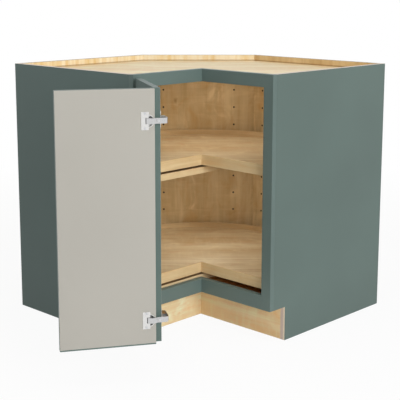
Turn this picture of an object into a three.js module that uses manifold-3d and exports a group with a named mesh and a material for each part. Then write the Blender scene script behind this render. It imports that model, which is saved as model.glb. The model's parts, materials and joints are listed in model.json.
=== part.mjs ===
// A corner base cabinet with two turning trays, as fitted where two runs of kitchen units meet.
//
// Seen from above, the two walls meet at the point (0, 0) of the drawing coordinates: the right-hand
// wall runs along +X and the left-hand wall runs along -Y. Each wing of the cabinet stands against
// one wall, and the mirror line of the cabinet is the diagonal y = -x. Most pieces of the left wing
// are therefore the right-hand piece with x and y swapped and their signs changed.
//
// The finished group is moved so that its origin is on the floor, on the mirror line, in the middle
// of the lower edge of the diagonal back panel. Units are millimetres and +Z is up.

import * as THREE from 'three';
import { mergeVertices } from 'three/addons/utils/BufferGeometryUtils.js';
import Module from 'manifold-3d';

const wasm = await Module();
wasm.setup();

// ---------------------------------------------------------------- driving dimensions: carcass
const WALL_RUN = 914.4; // length of each wing along its wall
const WING_DEPTH = 609.6; // wall to the front of the face frame
const HEIGHT = 876.3; // floor to the top of the panels
const CORNER_CUT = 317.5; // how far along each wall the back corner is cut off
const PLY = 19; // panels, top, floor and toe boards
const FRAME_T = 19; // thickness of the face frame
const STILE_W = 38.1;
const TOP_RAIL_H = 41.3;
const BOTTOM_RAIL_H = 47.6;
const TOE_H = 114.3; // height of the toe recess
const TOE_SET = 76.2; // depth of the toe recess
const TOP_RECESS = 22; // rims of the panels stand this far above the top
const FLOOR_TOP = 145; // upper face of the cabinet floor
const MITRE_GAP = 0.3; // glue line where two panels meet at an angle

// ---------------------------------------------------------------- driving dimensions: shelf holes
const HOLE_R = 2.5;
const HOLE_DEPTH = 10;
const HOLE_LOWEST = 262;
const HOLE_PITCH = 68.4;
const HOLE_ROWS = 8;
const DIAGONAL_HOLE_OFFSET = 138.5; // from the middle of the diagonal panel
const BACK_HOLE_INSET = 52.5; // rear column, from the edge of the cut corner
const FRONT_HOLE_SET = 50.6; // front column, from the back of the face frame
const CLIP_ROW = 4; // row, counted from 0 at the lowest, that carries the upper board

// ---------------------------------------------------------------- driving dimensions: trays
const TRAY_BACK_CLEAR = 7; // rim to the diagonal back panel
const TRAY_SIDE_CLEAR = 13.4; // rim to the end panels
const TRAY_H = 36; // height of the rim and of the notch rails
const TRAY_FLOOR_T = 17.5;
const STRIP_T = 6; // bent rim and notch rails
const NOTCH_CLEAR = 5.8; // from the back of the face frame to the notch rails
const FIT = 0.3; // clearance between pieces that are let into one another
const BOARD_T = 22;
const BOARD_W = 254;
const BOARD_END_GAP = 2.4; // room for a shelf clip at each end of a support board

// ---------------------------------------------------------------- driving dimensions: bearings
const BEARING_H = 7;
const BEARING_OUTER_R = 90;
const BEARING_INNER_R = 60;
const BEARING_PLATE_T = 1.6;
const BEARING_LIP_T = 1.6;
const BALL_R = 1.6;
const BALL_COUNT = 12;
const BALL_CIRCLE_R = 75;
const CAGE_T = 1.2;
const CAGE_HALF_W = 6;

// ---------------------------------------------------------------- driving dimensions: shelf clips
const CLIP_W = 20;
const CLIP_T = 2;
const CLIP_LEDGE = 14;
const CLIP_RISE = 26; // plate height above the ledge
const CLIP_DROP = 15.6; // stud to the ledge

// ---------------------------------------------------------------- driving dimensions: doors
const LEAF_T = 19;
const LEAF_LAP_BOTTOM = 5.7; // lower edge of the face frame to the leaf
const LEAF_LAP_TOP = 10.3; // upper edge of the face frame to the leaf
const LEAF_GAP_FRAME = 4.2; // closed leaf to face frame, room for the swinging end of leaf B
const LEAF_REVEAL = 1.5; // closed leaf to the outer side of the cabinet
const LEAF_GAP = 1; // each leaf stops this far short of the outer face of the other
const OPEN_AT_REST = THREE.MathUtils.degToRad(122);

// ---------------------------------------------------------------- driving dimensions: hinges
const HINGE_UP = 74; // lower hinges, above the lower edge of the leaves
const HINGE_DOWN = 91; // upper hinges, below the upper edge of the leaves
const STRAP_T = 2.5;
const STRAP_H = 16;
const PIN_R = 1.6;
const EYE_R = 3;
const LINING_T = 0.8;
const SCREW_HEAD_R = 3.6;
const SCREW_HEAD_T = 1.6;
const SCREW_R = 1.6;
const SCREW_L = 9;

// stile hinges, between the left stile and leaf A
const HINGE_END = 5.9; // pivot to the hinged end of the leaf
const HINGE_DEPTH = 11.9; // pivot to the inner face of the leaf
const SOCKET_H = 20; // the mortise that a hinge turns in
const SOCKET_L = 42.9;
const SOCKET_DEPTH = 15.8;
const STILE_CLEAR = 3.3; // middle of the strap to the corner of the stile
const STILE_PLATE_H = 44;
const STILE_PLATE_W = 16;

// fold hinges, between leaf A and leaf B
const FOLD_END = 10; // pivot to the end of leaf B
const FOLD_DEPTH = 11.5; // pivot to the inner face of leaf B
const CUP_R = 17.5;
const CUP_MIDDLE = 20.9; // from the end of leaf B
const CUP_DEPTH = 15.4;
const CUP_PIN_L = 22;
const CUP_RIM = 1.2; // the rim of the cup laps over its bore in the leaf
const FLANGE_H = 51;
const FLANGE_W = 22;
const FLANGE_T = 1;
const SLOT_REACH = 17; // from the pivot to the end of the slot that the arm comes out of
const SLOT_CLEAR = 0.8;
const BOW_RADIUS = 18.2; // middle of the bowed arm, clear of the swinging end of leaf B
const BOW_FROM = 42; // degrees, seen from the pivot
const BOW_TO = 136;
const BOW_STEPS = 8;
const ARM_BEND = 8; // rounding of the arm where it turns down to its plate
const ARM_REACH = 16.7; // middle of the arm to the inner face of leaf A
const PLATE_L = 34;
const PLATE_T = 2.4;
const PLATE_W = 16;
const PLATE_WING_H = 48;

// ---------------------------------------------------------------- sizes that follow
const frameBack = WING_DEPTH - FRAME_T;
const endInner = WALL_RUN - PLY;
const stileInner = WALL_RUN - STILE_W;
const toeFront = WING_DEPTH - TOE_SET;
const floorBottom = FLOOR_TOP - PLY;
const topTop = HEIGHT - TOP_RECESS;
const topBottom = topTop - PLY;
const openingBottom = TOE_H + BOTTOM_RAIL_H;
const openingTop = HEIGHT - TOP_RAIL_H;
const mitreStep = PLY * Math.tan(Math.PI / 8); // the back panels meet at 135 degrees
const notch = frameBack - NOTCH_CLEAR;
const holeHeights = Array.from({ length: HOLE_ROWS }, (_, i) => HOLE_LOWEST + i * HOLE_PITCH);
const upperBoardBottom = holeHeights[CLIP_ROW] - CLIP_DROP;

// The largest tray that keeps both clearances: the rim passes the diagonal panel and the two end
// panels. Solved for the distance of the turning axis from each wall.
const backLine = CORNER_CUT / Math.SQRT2 + PLY + TRAY_BACK_CLEAR; // from the corner of the walls
const trayCentre = (endInner - TRAY_SIDE_CLEAR + backLine) / (1 + Math.SQRT2);
const trayRadius = Math.SQRT2 * trayCentre - backLine;
const boardFront = notch;
const boardBack = boardFront - BOARD_W;
const backHoles = [CORNER_CUT + BACK_HOLE_INSET, frameBack - FRONT_HOLE_SET]; // from the other wall
const originShift = (CORNER_CUT + PLY / Math.SQRT2) / 2;
const leafEnd = WALL_RUN - LEAF_REVEAL;
const leafInner = WING_DEPTH + LEAF_GAP_FRAME;
const leafOuter = leafInner + LEAF_T;
const leafMeet = leafOuter + LEAF_GAP;
const leafBottom = TOE_H + LEAF_LAP_BOTTOM;
const leafTop = HEIGHT - LEAF_LAP_TOP;
const hingeHeights = [leafBottom + HINGE_UP, leafTop - HINGE_DOWN]; // lower and upper hinges

// ---------------------------------------------------------------- materials
function paint(color, roughness, metalness = 0) {
  return new THREE.MeshStandardMaterial({ color, roughness, metalness });
}
const plywood = () => paint(0xd9bf8f, 0.6);
const teal = () => paint(0x6a7a75, 0.45);
const backing = () => paint(0xbfb9b0, 0.5);
const nickel = () => paint(0xc9c8c6, 0.3, 1);
const steel = () => paint(0xaeb2b4, 0.35, 1);
const nylon = () => paint(0xe6e2d8, 0.5);

// ---------------------------------------------------------------- geometry helpers
// Returns the bare closed mesh: positions only, shared corners merged, faces pointing out.
function closed(geometry) {
  const bare = geometry.clone();
  bare.deleteAttribute('normal');
  bare.deleteAttribute('uv');
  const merged = mergeVertices(bare, 1e-4);
  const p = merged.attributes.position;
  const index = merged.index.array;
  const [a, b, c] = [new THREE.Vector3(), new THREE.Vector3(), new THREE.Vector3()];
  let volume = 0;
  for (let i = 0; i < index.length; i += 3) {
    a.fromBufferAttribute(p, index[i]);
    b.fromBufferAttribute(p, index[i + 1]);
    c.fromBufferAttribute(p, index[i + 2]);
    volume += a.dot(b.cross(c));
  }
  if (volume < 0) {
    for (let i = 0; i < index.length; i += 3) {
      [index[i], index[i + 1]] = [index[i + 1], index[i]];
    }
  }
  return merged;
}

// A block given by its lowest and highest corners.
function block(x0, x1, y0, y1, z0, z1) {
  const g = new THREE.BoxGeometry(x1 - x0, y1 - y0, z1 - z0);
  g.translate((x0 + x1) / 2, (y0 + y1) / 2, (z0 + z1) / 2);
  return closed(g);
}

// An upright prism over a shape, or over a list of [x, y] corners.
function prism(outline, z0, z1, curveSegments = 12) {
  const shape = Array.isArray(outline)
    ? new THREE.Shape(outline.map(([x, y]) => new THREE.Vector2(x, y)))
    : outline;
  const g = new THREE.ExtrudeGeometry(shape, { depth: z1 - z0, bevelEnabled: false, curveSegments });
  g.translate(0, 0, z0);
  return closed(g);
}

// A right-hand outline moved to the left wing.
function mirrored(outline) {
  return outline.map(([x, y]) => [-y, -x]);
}

// A round bar from one point to another.
function bar(from, to, radius, segments = 12) {
  const a = new THREE.Vector3(...from);
  const along = new THREE.Vector3(...to).sub(a);
  const g = new THREE.CylinderGeometry(radius, radius, along.length(), segments);
  g.translate(0, along.length() / 2, 0);
  g.applyQuaternion(
    new THREE.Quaternion().setFromUnitVectors(new THREE.Vector3(0, 1, 0), along.normalize()),
  );
  g.translate(a.x, a.y, a.z);
  return closed(g);
}

// A ring about the upright axis through (x, y), from a closed profile of [radius, z] corners.
function ring(profile, x, y, segments = 36) {
  const loop = [...profile, profile[0]].map(([r, z]) => new THREE.Vector2(r, z));
  const g = new THREE.LatheGeometry(loop, segments);
  g.rotateX(Math.PI / 2);
  g.translate(x, y, 0);
  return closed(g);
}

function toManifold(geometry) {
  return new wasm.Manifold(
    new wasm.Mesh({
      numProp: 3,
      vertProperties: new Float32Array(geometry.attributes.position.array),
      triVerts: new Uint32Array(geometry.index.array),
    }),
  );
}

function fromManifold(manifold) {
  const { numProp, vertProperties, triVerts } = manifold.getMesh();
  const xyz = new Float32Array((vertProperties.length / numProp) * 3);
  for (let i = 0; i < xyz.length / 3; i++) {
    xyz.set(vertProperties.subarray(i * numProp, i * numProp + 3), i * 3);
  }
  const g = new THREE.BufferGeometry();
  g.setAttribute('position', new THREE.BufferAttribute(xyz, 3));
  g.setIndex(Array.from(triVerts));
  return g;
}

// The body joined with the pieces to add, less the pieces to cut.
function carve(body, { add = [], cut = [] }) {
  let solid = toManifold(body);
  for (const g of add) solid = solid.add(toManifold(g));
  for (const g of cut) solid = solid.subtract(toManifold(g));
  return fromManifold(solid);
}

// Adds one named piece to a parent.
function piece(parent, name, geometry, material) {
  const shown = geometry.index ? geometry.toNonIndexed() : geometry;
  shown.computeVertexNormals();
  const mesh = new THREE.Mesh(shown, material);
  mesh.name = name;
  parent.add(mesh);
  return mesh;
}

const cabinet = new THREE.Group();
const model = new THREE.Group();
model.position.set(-originShift, originShift, 0);
cabinet.add(model);

// ---------------------------------------------------------------- shelf-pin holes
// A column of blind holes, from a point on the panel's inner face into the panel.
function holeColumn([x, y], [dx, dy]) {
  const over = 1; // the cutter starts a little in front of the face
  return holeHeights.map((z) =>
    bar([x - dx * over, y - dy * over, z], [x + dx * HOLE_DEPTH, y + dy * HOLE_DEPTH, z], HOLE_R, 8),
  );
}

// ---------------------------------------------------------------- carcass panels
function endPanelOutline() {
  // side view: distance from the wall, height
  return [
    [0, 0],
    [toeFront, 0],
    [toeFront, TOE_H],
    [frameBack, TOE_H],
    [frameBack, HEIGHT],
    [0, HEIGHT],
  ];
}

// An end panel drawn in side view and turned upright. The right one closes the wing at x = WALL_RUN.
function endPanel(side) {
  const shape = new THREE.Shape(endPanelOutline().map(([d, z]) => new THREE.Vector2(d, z)));
  const g = new THREE.ExtrudeGeometry(shape, { depth: PLY, bevelEnabled: false });
  if (side === 'right') {
    // the depth from the wall becomes -y, the extrusion becomes x
    g.applyMatrix4(new THREE.Matrix4().set(0, 0, 1, endInner, -1, 0, 0, 0, 0, 1, 0, 0, 0, 0, 0, 1));
    const holes = backHoles.flatMap((d) => holeColumn([endInner, -d], [1, 0]));
    return carve(closed(g), { cut: holes });
  }
  g.applyMatrix4(new THREE.Matrix4().set(1, 0, 0, 0, 0, 0, -1, -endInner, 0, 1, 0, 0, 0, 0, 0, 1));
  const holes = backHoles.flatMap((d) => holeColumn([d, -endInner], [0, -1]));
  return carve(closed(g), { cut: holes });
}

const rightBackOutline = [
  [CORNER_CUT + MITRE_GAP, 0],
  [endInner, 0],
  [endInner, -PLY],
  [CORNER_CUT + MITRE_GAP + mitreStep, -PLY],
];
const diagonalOutline = [
  [0, -CORNER_CUT],
  [CORNER_CUT, 0],
  [CORNER_CUT + mitreStep, -PLY],
  [PLY, -CORNER_CUT - mitreStep],
];
// Inner faces of the back, right to left, with a glue line along the diagonal.
const innerBack = [
  [endInner, -PLY],
  [CORNER_CUT + mitreStep + MITRE_GAP, -PLY],
  [PLY, -CORNER_CUT - mitreStep - MITRE_GAP],
  [PLY, -endInner],
];

function addCarcass() {
  piece(model, 'right_end_panel', endPanel('right'), teal());
  piece(model, 'left_end_panel', endPanel('left'), teal());

  const rightHoles = backHoles.flatMap((d) => holeColumn([d, -PLY], [0, 1]));
  const leftHoles = backHoles.flatMap((d) => holeColumn([PLY, -d], [-1, 0]));
  piece(
    model,
    'right_back_panel',
    carve(prism(rightBackOutline, 0, HEIGHT), { cut: rightHoles }),
    plywood(),
  );
  piece(
    model,
    'left_back_panel',
    carve(prism(mirrored(rightBackOutline), 0, HEIGHT), { cut: leftHoles }),
    plywood(),
  );

  // the inner face of the diagonal panel crosses the mirror line here
  const middle = (CORNER_CUT + PLY * Math.SQRT2) / 2;
  const along = DIAGONAL_HOLE_OFFSET * Math.SQRT1_2;
  const diagonalHoles = [-along, along].flatMap((s) =>
    holeColumn([middle + s, -middle + s], [-Math.SQRT1_2, Math.SQRT1_2]),
  );
  piece(
    model,
    'diagonal_back_panel',
    carve(prism(diagonalOutline, 0, HEIGHT), { cut: diagonalHoles }),
    plywood(),
  );

  // top and floor fill the L between the panels and the face frame
  const inside = [
    ...innerBack,
    [frameBack, -endInner],
    [frameBack, -frameBack],
    [endInner, -frameBack],
  ];
  piece(model, 'top_panel', prism(inside, topBottom, topTop), plywood());
  piece(model, 'floor_panel', prism(inside, floorBottom, FLOOR_TOP), plywood());

  piece(
    model,
    'right_toe_board',
    block(toeFront, endInner, -toeFront, -toeFront + PLY, 0, floorBottom),
    plywood(),
  );
  piece(
    model,
    'left_toe_board',
    block(toeFront - PLY, toeFront, -endInner, -toeFront + PLY, 0, floorBottom),
    plywood(),
  );
}

// ---------------------------------------------------------------- face frame
function addFaceFrame() {
  const stileBack = -frameBack;
  piece(
    model,
    'right_stile',
    block(stileInner, WALL_RUN, -WING_DEPTH, stileBack, TOE_H, HEIGHT),
    teal(),
  );
  const screwHoles = hingeHeights.map((z) => stilePlateScrew(z).hole);
  piece(
    model,
    'left_stile',
    carve(block(frameBack, WING_DEPTH, -WALL_RUN, -stileInner, TOE_H, HEIGHT), { cut: screwHoles }),
    teal(),
  );
  const rails = [
    ['top_rail', openingTop, HEIGHT],
    ['bottom_rail', TOE_H, openingBottom],
  ];
  for (const [name, z0, z1] of rails) {
    piece(
      model,
      `right_${name}`,
      block(WING_DEPTH, stileInner, -WING_DEPTH, -frameBack, z0, z1),
      teal(),
    );
    // the left rail runs on behind the end of the right one, to the inner corner of the frame
    piece(
      model,
      `left_${name}`,
      block(frameBack, WING_DEPTH, -stileInner, -frameBack, z0, z1),
      teal(),
    );
  }
}

// ---------------------------------------------------------------- support boards and shelf clips
function addSupportBoards() {
  const y0 = -endInner + BOARD_END_GAP;
  const y1 = -PLY - BOARD_END_GAP;
  const boards = [
    ['lower_support_board', FLOOR_TOP],
    ['upper_support_board', upperBoardBottom],
  ];
  for (const [name, z] of boards) {
    piece(model, name, block(boardBack, boardFront, y0, y1, z, z + BOARD_T), plywood());
  }
}

// One angled clip: a plate against the panel, a ledge under the board and a stud in a shelf-pin hole.
// `wall` is the y of the panel's inner face and `into` is the direction from the room to the panel.
function shelfClip(x, wall, into) {
  const ledgeTop = upperBoardBottom;
  const span = (a, b) => [Math.min(a, b), Math.max(a, b)];
  const plate = block(
    x - CLIP_W / 2,
    x + CLIP_W / 2,
    ...span(wall, wall - into * CLIP_T),
    ledgeTop - CLIP_T,
    ledgeTop + CLIP_RISE,
  );
  const ledge = block(
    x - CLIP_W / 2,
    x + CLIP_W / 2,
    ...span(wall - into * CLIP_T, wall - into * CLIP_LEDGE),
    ledgeTop - CLIP_T,
    ledgeTop,
  );
  const z = holeHeights[CLIP_ROW];
  const stud = bar(
    [x, wall - (into * CLIP_T) / 2, z],
    [x, wall + into * (HOLE_DEPTH - 1), z],
    HOLE_R - FIT,
    8,
  );
  return carve(plate, { add: [ledge, stud] });
}

function addShelfClips() {
  backHoles.forEach((x, i) => {
    piece(model, `right_shelf_clip_${i + 1}`, shelfClip(x, -PLY, 1), steel());
    piece(model, `left_shelf_clip_${i + 1}`, shelfClip(x, -endInner, -1), steel());
  });
}

// ---------------------------------------------------------------- trays
// The turning axis is the centre of the coordinates that the tray outlines are drawn in.
const notchLocal = notch - trayCentre;

// The pie shape of radius r whose notch sides lie `inset` inside the notch faces.
function pieShape(r, inset) {
  const side = notchLocal - inset;
  const from = -Math.asin(side / r);
  const to = 1.5 * Math.PI + Math.asin(side / r);
  const shape = new THREE.Shape();
  shape.moveTo(side, -side);
  shape.lineTo(r * Math.cos(from), -side);
  shape.absarc(0, 0, r, from, to, false);
  shape.lineTo(side, -side);
  return shape;
}

// The bent strip round the tray, which ends against the two notch rails.
function rimShape(rOut, rIn, inset) {
  const side = notchLocal - inset;
  const start = (r) => -Math.asin(side / r);
  const stop = (r) => 1.5 * Math.PI + Math.asin(side / r);
  const shape = new THREE.Shape();
  shape.moveTo(rOut * Math.cos(start(rOut)), -side);
  shape.absarc(0, 0, rOut, start(rOut), stop(rOut), false);
  shape.lineTo(side, rIn * Math.sin(stop(rIn)));
  shape.absarc(0, 0, rIn, stop(rIn), start(rIn), true);
  return shape;
}

function bearingProfile(lower) {
  const [out, inn, t, lip] = [BEARING_OUTER_R, BEARING_INNER_R, BEARING_PLATE_T, BEARING_LIP_T];
  const lipH = BEARING_H / 2 - FIT;
  return lower
    ? [
        [inn, 0],
        [out, 0],
        [out, lipH],
        [out - lip, lipH],
        [out - lip, t],
        [inn, t],
      ]
    : [
        [inn, BEARING_H],
        [out, BEARING_H],
        [out, BEARING_H - t],
        [inn + lip, BEARING_H - t],
        [inn + lip, BEARING_H - lipH],
        [inn, BEARING_H - lipH],
      ];
}

function raised(geometry, z) {
  geometry.translate(0, 0, z);
  return geometry;
}

function addTray(level, boardTop) {
  const tray = new THREE.Group();
  tray.position.set(trayCentre, -trayCentre, boardTop + BEARING_H);
  model.add(tray);
  const rIn = trayRadius - STRIP_T;
  piece(
    tray,
    `${level}_tray_floor`,
    prism(pieShape(rIn - FIT, STRIP_T + FIT), 0, TRAY_FLOOR_T, 48),
    plywood(),
  );
  piece(
    tray,
    `${level}_tray_rim`,
    prism(rimShape(trayRadius, rIn, STRIP_T + FIT), 0, TRAY_H, 48),
    plywood(),
  );
  const reach = Math.sqrt(trayRadius ** 2 - notchLocal ** 2);
  piece(
    tray,
    `${level}_tray_right_rail`,
    block(notchLocal - STRIP_T, reach, -notchLocal, -notchLocal + STRIP_T, 0, TRAY_H),
    plywood(),
  );
  piece(
    tray,
    `${level}_tray_left_rail`,
    block(notchLocal - STRIP_T, notchLocal, -reach, -notchLocal, 0, TRAY_H),
    plywood(),
  );

  // the bearing lies between the board and the tray
  const bearing = new THREE.Group();
  bearing.position.set(trayCentre, -trayCentre, boardTop);
  model.add(bearing);
  piece(bearing, `${level}_bearing_base`, ring(bearingProfile(true), 0, 0), steel());
  piece(bearing, `${level}_bearing_top`, ring(bearingProfile(false), 0, 0), steel());
  const middle = BEARING_H / 2;
  const seats = Array.from({ length: BALL_COUNT }, (_, i) => (i * 2 * Math.PI) / BALL_COUNT).map(
    (a) => [BALL_CIRCLE_R * Math.cos(a), BALL_CIRCLE_R * Math.sin(a)],
  );
  const cage = ring(
    [
      [BALL_CIRCLE_R - CAGE_HALF_W, middle - CAGE_T / 2],
      [BALL_CIRCLE_R + CAGE_HALF_W, middle - CAGE_T / 2],
      [BALL_CIRCLE_R + CAGE_HALF_W, middle + CAGE_T / 2],
      [BALL_CIRCLE_R - CAGE_HALF_W, middle + CAGE_T / 2],
    ],
    0,
    0,
    40,
  );
  // the balls are drawn as one piece with the cage that carries them round
  const balls = seats.map(([x, y]) => {
    const ball = new THREE.SphereGeometry(BALL_R, 8, 6);
    ball.translate(x, y, middle);
    return closed(ball);
  });
  piece(bearing, `${level}_bearing_cage`, carve(cage, { add: balls }), nylon());
}

// ---------------------------------------------------------------- door leaves
// Both leaves are drawn closed: leaf A lies across the left wing and leaf B across the right wing.
const pivotA = [leafInner + HINGE_DEPTH, -leafEnd + HINGE_END];
const pivotB = [leafMeet + FOLD_END, -leafInner - FOLD_DEPTH];

// A pan-head screw and the hole that it needs. It stands on `at` and points along `into`.
function screw(at, into, hold = FIT) {
  const step = (d) => at.map((v, i) => v + into[i] * d);
  const head = bar(step(-SCREW_HEAD_T), step(0), SCREW_HEAD_R, 10);
  const shank = bar(step(-SCREW_HEAD_T / 2), step(SCREW_L), SCREW_R, 6);
  return {
    solid: carve(head, { add: [shank] }),
    hole: bar(step(-FIT), step(SCREW_L + hold), SCREW_R + hold, 6),
  };
}

// The screw of the plate on the inner edge of the left stile, above the strap.
function stilePlateScrew(z) {
  const x = (frameBack + WING_DEPTH) / 2;
  const h = z + STILE_PLATE_H / 2 - SCREW_HEAD_R - 2;
  return screw([x, -stileInner + STRAP_T + FIT, h], [0, -1, 0]);
}

// A strap of even thickness that follows a line of [x, y] points, mitred at each bend.
function strap(points, z) {
  const runs = points.slice(1).map(([x, y], i) => {
    const [x0, y0] = points[i];
    const length = Math.hypot(x - x0, y - y0);
    return [(x - x0) / length, (y - y0) / length];
  });
  const edge = (side) =>
    points.map(([x, y], i) => {
      const [ax, ay] = runs[Math.max(i - 1, 0)];
      const [bx, by] = runs[Math.min(i, runs.length - 1)];
      // the offset point lies on the bisector of the two runs
      const reach = (side * STRAP_T) / (1 + ax * bx + ay * by);
      return [x - (reach * (ay + by)) / 2, y + (reach * (ax + bx)) / 2];
    });
  return prism([...edge(1), ...edge(-1).reverse()], z - STRAP_H / 2, z + STRAP_H / 2);
}

function eye([x, y], z) {
  return bar([x, y, z - STRAP_H / 2], [x, y, z + STRAP_H / 2], EYE_R, 16);
}

function eyeBore([x, y], z) {
  return bar([x, y, z - STRAP_H], [x, y, z + STRAP_H], PIN_R + FIT, 12);
}

// The arm of a stile hinge: a plate on the inner edge of the stile, and a strap to the pivot.
function stileArm(z) {
  const edge = -stileInner + FIT;
  const plate = block(
    WING_DEPTH - STILE_PLATE_W,
    WING_DEPTH + FIT,
    edge,
    edge + STRAP_T,
    z - STILE_PLATE_H / 2,
    z + STILE_PLATE_H / 2,
  );
  // the strap passes the corner of the stile at the set distance
  const [dx, dy] = [WING_DEPTH - pivotA[0], -stileInner - pivotA[1]];
  const turn = Math.atan2(dy, dx) - Math.asin(STILE_CLEAR / Math.hypot(dx, dy));
  const middle = edge + STRAP_T / 2;
  const knee = [pivotA[0] + (middle - pivotA[1]) / Math.tan(turn), middle];
  const route = [pivotA, knee, [WING_DEPTH - 2, middle]];
  return carve(plate, {
    add: [strap(route, z), eye(pivotA, z)],
    cut: [eyeBore(pivotA, z), stilePlateScrew(z).hole],
  });
}

// Mortise at the hinged end of leaf A, open to the end and to the inner face.
function socketCut(z, grow = 0) {
  return block(
    leafInner - 1,
    leafInner + SOCKET_DEPTH + grow,
    -leafEnd - 1,
    -leafEnd + SOCKET_L + grow,
    z - SOCKET_H / 2 - grow,
    z + SOCKET_H / 2 + grow,
  );
}

// The pressed lining of the mortise, with the pivot pin riveted across it.
function socketLining(z) {
  const wall = LINING_T;
  const outer = block(
    leafInner,
    leafInner + SOCKET_DEPTH + wall,
    -leafEnd,
    -leafEnd + SOCKET_L + wall,
    z - SOCKET_H / 2 - wall,
    z + SOCKET_H / 2 + wall,
  );
  const reach = SOCKET_H / 2 + wall / 2;
  const hollow = carve(outer, { cut: [socketCut(z)] });
  return carve(hollow, {
    add: [bar([...pivotA, z - reach], [...pivotA, z + reach], PIN_R, 12)],
  });
}

function hingePin([x, y], z, height) {
  return bar([x, y, z - height / 2 + FIT], [x, y, z + height / 2 - FIT], PIN_R, 12);
}

// Line of the arm of a fold hinge: out of the cup, back over the end of leaf B in a bow that leaves
// room for that end to swing, past the edge of leaf A and down to the plate on its inner face.
function foldArmRoute() {
  const polar = (r, degrees) => {
    const a = THREE.MathUtils.degToRad(degrees);
    return [pivotB[0] + r * Math.cos(a), pivotB[1] + r * Math.sin(a)];
  };
  const bow = Array.from({ length: BOW_STEPS + 1 }, (_, i) =>
    polar(BOW_RADIUS, BOW_FROM + ((BOW_TO - BOW_FROM) * i) / BOW_STEPS),
  );
  const level = bow[BOW_STEPS][1];
  const down = leafInner - ARM_REACH;
  const round = ARM_BEND * (1 - Math.SQRT1_2);
  return [
    pivotB,
    polar(BOW_RADIUS - STRAP_T / 2, BOW_FROM - 5),
    ...bow,
    [down + ARM_BEND, level],
    [down + round, level - round],
    [down, level - ARM_BEND],
    [down, -leafMeet - PLATE_L],
  ];
}

// The adjusting screw of the arm, over the edge of leaf A.
function foldArmScrew(z) {
  const bowEnd = foldArmRoute()[BOW_STEPS + 2];
  const y = bowEnd[1] + STRAP_T / 2 + FIT;
  return screw([(leafInner + leafOuter) / 2, y, z], [0, -1, 0]);
}

// The screw of the mounting plate, through the wing above the arm.
function foldPlateScrew(z) {
  const h = z + PLATE_WING_H / 2 - SCREW_HEAD_R - 3;
  const y = -leafMeet - PLATE_L / 2;
  return screw([leafInner - 2 * FIT - PLATE_T, y, h], [1, 0, 0]);
}

// Mounting plate of a fold hinge on the inner face of leaf A: a block under the arm and two wings.
function foldPlate(z) {
  const face = leafInner - FIT;
  const middle = -leafMeet - PLATE_L / 2;
  const core = block(
    leafInner - ARM_REACH + STRAP_T / 2 + FIT,
    face,
    middle - PLATE_L / 2,
    middle + PLATE_L / 2 - 3,
    z - STRAP_H / 2,
    z + STRAP_H / 2,
  );
  const wings = block(
    face - PLATE_T,
    face,
    middle - PLATE_W / 2,
    middle + PLATE_W / 2,
    z - PLATE_WING_H / 2,
    z + PLATE_WING_H / 2,
  );
  return carve(core, { add: [wings], cut: [foldPlateScrew(z).hole] });
}

function foldArm(z) {
  return carve(strap(foldArmRoute(), z), {
    add: [eye(pivotB, z)],
    cut: [eyeBore(pivotB, z), foldArmScrew(z).hole],
  });
}

// A round plug on the middle of the cup, between two depths below the inner face of leaf B.
function cupPlug(z, radius, from, to) {
  const x = leafMeet + CUP_MIDDLE;
  return bar([x, -leafInner - from, z], [x, -leafInner - to, z], radius, 32);
}

function cupScrews(z) {
  const off = FLANGE_H / 2 - SCREW_HEAD_R - 1;
  const x = leafMeet + CUP_MIDDLE + CUP_R + CUP_RIM - FLANGE_W / 2;
  return [z - off, z + off].map((h) => screw([x, -leafInner + 2 * FIT + FLANGE_T, h], [0, -1, 0]));
}

// Cup of a fold hinge in leaf B: a round shell with a rim, and a flange that covers most of it
// and is slotted for the arm.
function foldCup(z) {
  const shell = carve(cupPlug(z, CUP_R, -FIT, CUP_DEPTH + LINING_T), {
    add: [cupPlug(z, CUP_R + CUP_RIM, -FIT - FLANGE_T, -FIT)],
    cut: [cupPlug(z, CUP_R - LINING_T, -FIT - FLANGE_T - 1, CUP_DEPTH)],
  });
  const far = leafMeet + CUP_MIDDLE + CUP_R + CUP_RIM;
  const [low, high] = [-leafInner + FIT, -leafInner + FIT + FLANGE_T];
  const slotEnd = leafMeet + FOLD_END + SLOT_REACH;
  const slotHalf = STRAP_H / 2 + SLOT_CLEAR;
  const flange = carve(block(far - FLANGE_W, far, low, high, z - FLANGE_H / 2, z + FLANGE_H / 2), {
    cut: [block(leafMeet, slotEnd, low - 1, high + 1, z - slotHalf, z + slotHalf)],
  });
  return carve(shell, { add: [flange], cut: cupScrews(z).map(({ hole }) => hole) });
}

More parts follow.
